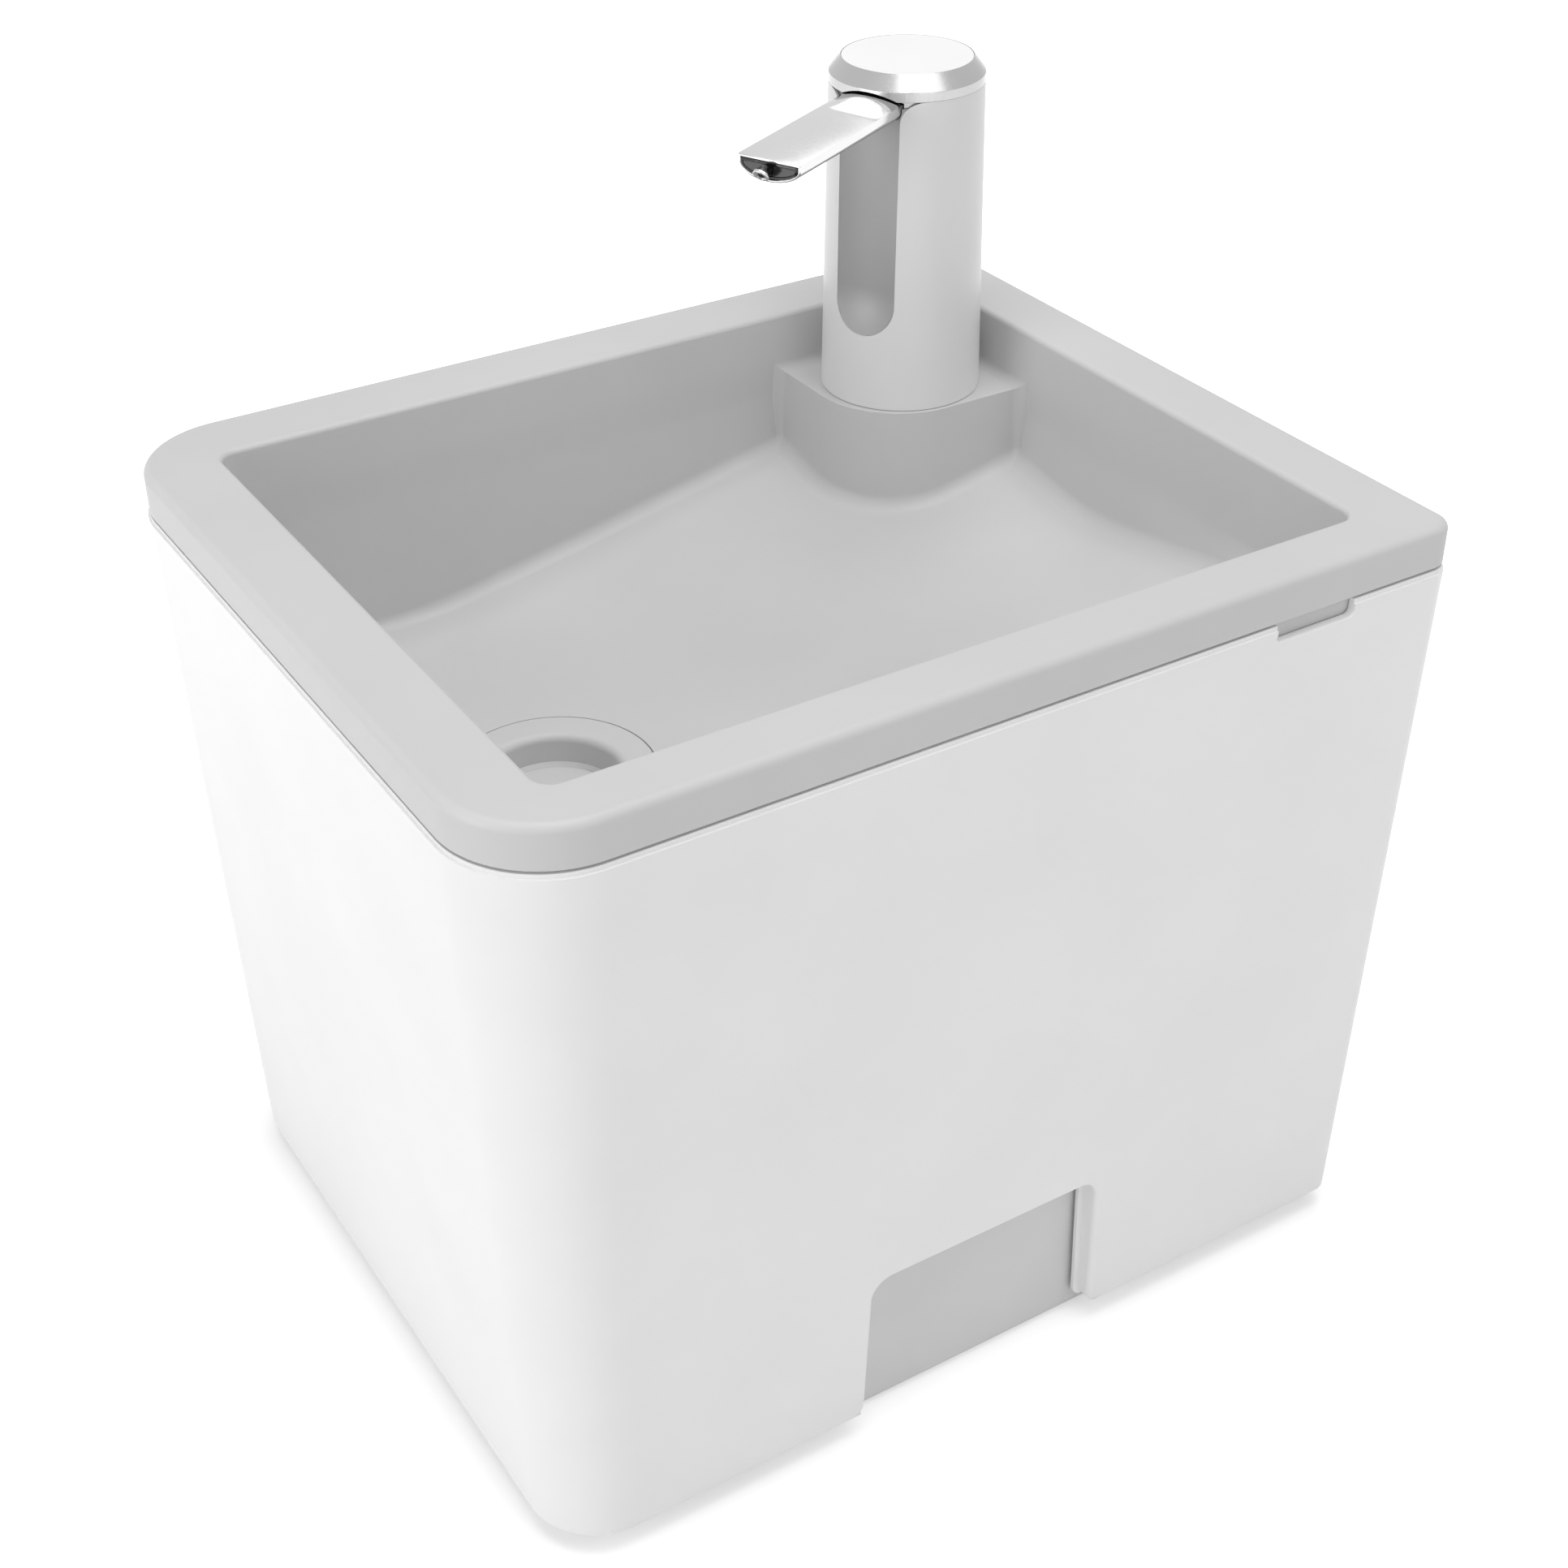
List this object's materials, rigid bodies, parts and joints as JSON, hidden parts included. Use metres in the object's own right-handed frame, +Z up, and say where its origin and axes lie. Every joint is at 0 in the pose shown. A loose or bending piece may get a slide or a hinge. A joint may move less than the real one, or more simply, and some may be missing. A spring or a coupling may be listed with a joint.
{
  "type": "portable wash basin with sensor tap",
  "caption": "Free-standing wash basin: a sloping bowl with a drain and a sensor tap in its corner, on a lift-off cover over a waste tank and a fresh tank.",
  "frame": {"origin": "on the ground, under the centre of the body's outer box", "axes": "+Z up; -Y the front, where the drain is; +X the side with the grip notch; the tap stands at -X +Y"},
  "size_m": [0.3, 0.3584, 0.415],
  "materials": {
    "white_plastic": "satin white moulding",
    "grey_basin": "satin light grey moulding",
    "waste_grey": "fine matte grey moulding",
    "clear_white": "milky moulding",
    "chrome": "bright plated",
    "steel": "brushed",
    "core_grey": "satin grey",
    "black_window": "polished dark",
    "rubber": "matte",
    "dark_plastic": "matte",
    "nylon": "matte white",
    "silicone": "milky tube",
    "cell_blue": "shrink sleeve",
    "board_green": "lacquered board"
  },
  "bodies": {
    "base": {"waste_tank": "waste_grey", "tank_feet": "rubber"},
    "cover": {"outer_shell": "white_plastic"},
    "fresh": {"fresh_tank": "clear_white"},
    "filler_cap": {"tank_cap": "white_plastic", "cap_gasket": "rubber"},
    "bowl": {"basin": "grey_basin", "drain_body": "grey_basin", "drain_gasket": "rubber", "drain_nut": "nylon", "tailpipe": "nylon", "tap_seal": "rubber", "mount_washer": "rubber"},
    "plug": {"plug_disc": "grey_basin", "plug_seal": "rubber", "plug_stem": "nylon"},
    "tap": {"tap_base": "steel", "lock_nut": "nylon", "tap_sleeve": "white_plastic", "tap_core": "core_grey", "tap_cap": "chrome", "tap_spout": "chrome", "sensor_window": "black_window", "spout_nozzle": "chrome", "outlet_tube": "silicone", "tap_chassis": "dark_plastic", "pump_motor": "steel", "pump_head": "dark_plastic", "battery_cell": "cell_blue", "circuit_board": "board_green", "charge_socket": "steel", "button_pad": "silicone", "suction_tube": "silicone", "suction_filter": "dark_plastic"},
    "button": {"tap_button": "white_plastic"},
    "flap": {"port_cover": "white_plastic"}
  },
  "joints": [
    {"name": "cover_lift", "type": "slide", "parent": "base", "child": "cover", "axis": [0, 0, 1], "range_m": [0, 0.2]},
    {"name": "fresh_lift", "type": "slide", "parent": "base", "child": "fresh", "axis": [0, 0, 1], "range_m": [0, 0.025]},
    {"name": "cap_lift", "type": "slide", "parent": "fresh", "child": "filler_cap", "axis": [0, 0, 1], "range_m": [0, 0.02]},
    {"name": "basin_lift", "type": "slide", "parent": "cover", "child": "bowl", "axis": [0, 0, 1], "range_m": [0, 0.12]},
    {"name": "plug_lift", "type": "slide", "parent": "bowl", "child": "plug", "axis": [0, 0, 1], "range_m": [0, 0.008]},
    {"name": "tap_turn", "type": "hinge", "parent": "bowl", "child": "tap", "pos_m": [-0.088, 0.1165, 0.288], "axis": [0, 0, 1], "range_deg": [-25, 55]},
    {"name": "button_press", "type": "slide", "parent": "tap", "child": "button", "axis": [0, 0, -1], "range_m": [0, 0.0012], "stiffness_N_per_m": 600, "springref_m": -0.002},
    {"name": "flap_turn", "type": "hinge", "parent": "tap", "child": "flap", "pos_m": [-0.10078, 0.1433, 0.3245], "axis": [0.9026, 0.4305, 0], "range_deg": [0, 100]}
  ]
}
